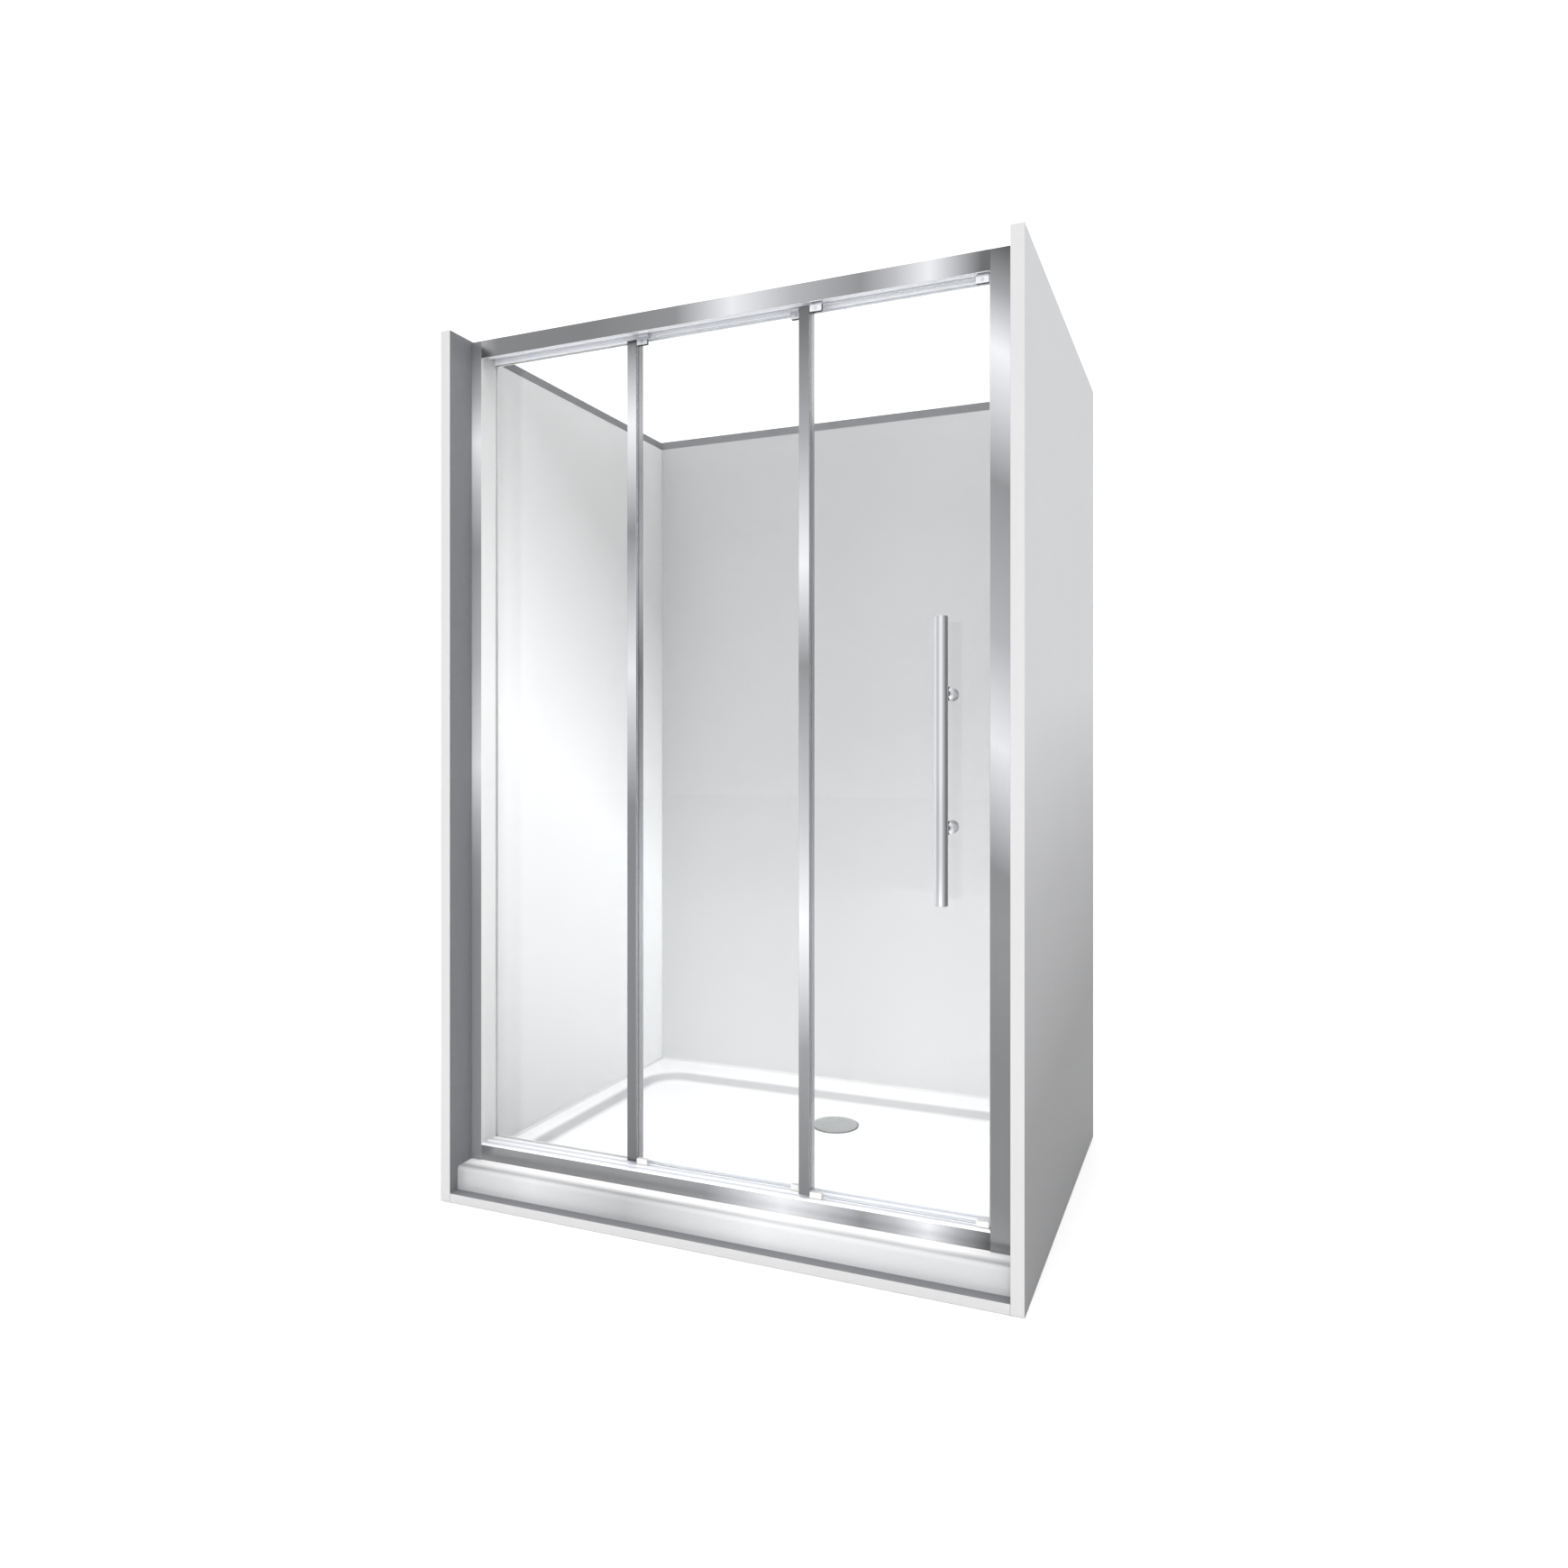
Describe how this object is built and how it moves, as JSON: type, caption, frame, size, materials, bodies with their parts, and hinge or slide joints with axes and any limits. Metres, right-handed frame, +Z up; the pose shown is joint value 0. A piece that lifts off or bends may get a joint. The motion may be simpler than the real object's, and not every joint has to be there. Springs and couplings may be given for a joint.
{
  "type": "shower enclosure with sliding door",
  "caption": "Alcove shower enclosure with a low tray, lined walls, a track frame and telescopic sliding glass panels with a bar handle.",
  "frame": {"origin": "centre of the footprint, on the surface the enclosure stands on", "axes": "+Z up, +X along the front towards the closing jamb on the right as seen from outside, +Y from the front to the back wall"},
  "size_m": [1.25, 0.95, 1.875],
  "materials": {
    "wall_board": "smooth satin laminate",
    "wall_liner": "gloss acrylic",
    "sealant": "smooth silicone",
    "tray": "gloss white",
    "waste_plastic": "moulded",
    "waste_chrome": "polished",
    "gasket_rubber": "matte",
    "glazing_rubber": "matte grey",
    "frame_metal": "polished",
    "steel": "bright",
    "hanger_metal": "dark grey cast",
    "guide_plastic": "dark grey nylon",
    "roller_plastic": "white nylon",
    "closing_plastic": "satin",
    "magnet": "matte",
    "glass": "clear toughened",
    "handle_chrome": "polished",
    "washer_plastic": "translucent"
  },
  "bodies": {
    "enclosure": {"base_panel": "wall_board", "wall_panel_left": "wall_board", "wall_panel_right": "wall_board", "wall_panel_back": "wall_board", "wall_liner_left": "wall_liner", "wall_liner_back": "wall_liner", "wall_liner_right": "wall_liner", "liner_sealant": "sealant", "shower_tray": "tray", "waste_body": "waste_plastic", "waste_locknut": "waste_plastic", "waste_gasket": "gasket_rubber", "under_gasket": "gasket_rubber", "jamb_left": "frame_metal", "wall_channel_right": "frame_metal", "strike_jamb": "frame_metal", "header_track": "frame_metal", "sill_track": "frame_metal", "sill_seal": "sealant", "wall_screws": "steel", "track_stops": "gasket_rubber", "fixed_glass": "glass", "glazing_gaskets": "glazing_rubber", "setting_blocks": "gasket_rubber", "fixed_stile": "frame_metal", "strike_magnet": "magnet"},
    "middle_panel": {"middle_glass": "glass", "middle_rear_stile": "frame_metal", "middle_lead_stile": "frame_metal", "middle_hangers": "hanger_metal", "middle_axles": "steel", "middle_clamp_screws": "steel", "middle_guides": "guide_plastic"},
    "door_panel": {"door_glass": "glass", "door_stile": "frame_metal", "door_closing_profile": "closing_plastic", "door_magnet": "magnet", "door_hangers": "hanger_metal", "door_axles": "steel", "door_clamp_screws": "steel", "door_guides": "guide_plastic", "handle_bar": "handle_chrome", "handle_standoffs": "handle_chrome", "handle_washers": "washer_plastic", "handle_knobs": "handle_chrome"},
    "middle_roller_left": {"middle_roller_left": "roller_plastic"},
    "middle_roller_right": {"middle_roller_right": "roller_plastic"},
    "door_roller_left": {"door_roller_left": "roller_plastic"},
    "door_roller_right": {"door_roller_right": "roller_plastic"},
    "waste_cover": {"waste_cover": "waste_chrome"}
  },
  "joints": [
    {"name": "middle_slide", "type": "slide", "parent": "enclosure", "child": "middle_panel", "axis": [-1, 0, 0], "range_m": [0, 0.346]},
    {"name": "door_slide", "type": "slide", "parent": "middle_panel", "child": "door_panel", "axis": [-1, 0, 0], "range_m": [0, 0.2525]},
    {"name": "waste_cover_lift", "type": "slide", "parent": "enclosure", "child": "waste_cover", "axis": [0, 0, 1], "range_m": [0, 0.03]},
    {"name": "middle_roller_left_spin", "type": "hinge", "parent": "middle_panel", "child": "middle_roller_left", "pos_m": [-0.186, -0.372, 1.8548], "axis": [0, -1, 0], "range_deg": [0, 2205]},
    {"name": "middle_roller_right_spin", "type": "hinge", "parent": "middle_panel", "child": "middle_roller_right", "pos_m": [0.162, -0.372, 1.8548], "axis": [0, -1, 0], "range_deg": [0, 2205]},
    {"name": "door_roller_left_spin", "type": "hinge", "parent": "door_panel", "child": "door_roller_left", "pos_m": [0.21, -0.392, 1.8548], "axis": [0, -1, 0], "continuous": true},
    {"name": "door_roller_right_spin", "type": "hinge", "parent": "door_panel", "child": "door_roller_right", "pos_m": [0.534, -0.392, 1.8548], "axis": [0, -1, 0], "continuous": true}
  ],
  "couplings": [
    {"joint": "middle_roller_left_spin", "follows": "middle_slide", "rad_per_m": 111.11},
    {"joint": "middle_roller_right_spin", "follows": "middle_slide", "rad_per_m": 111.11}
  ]
}
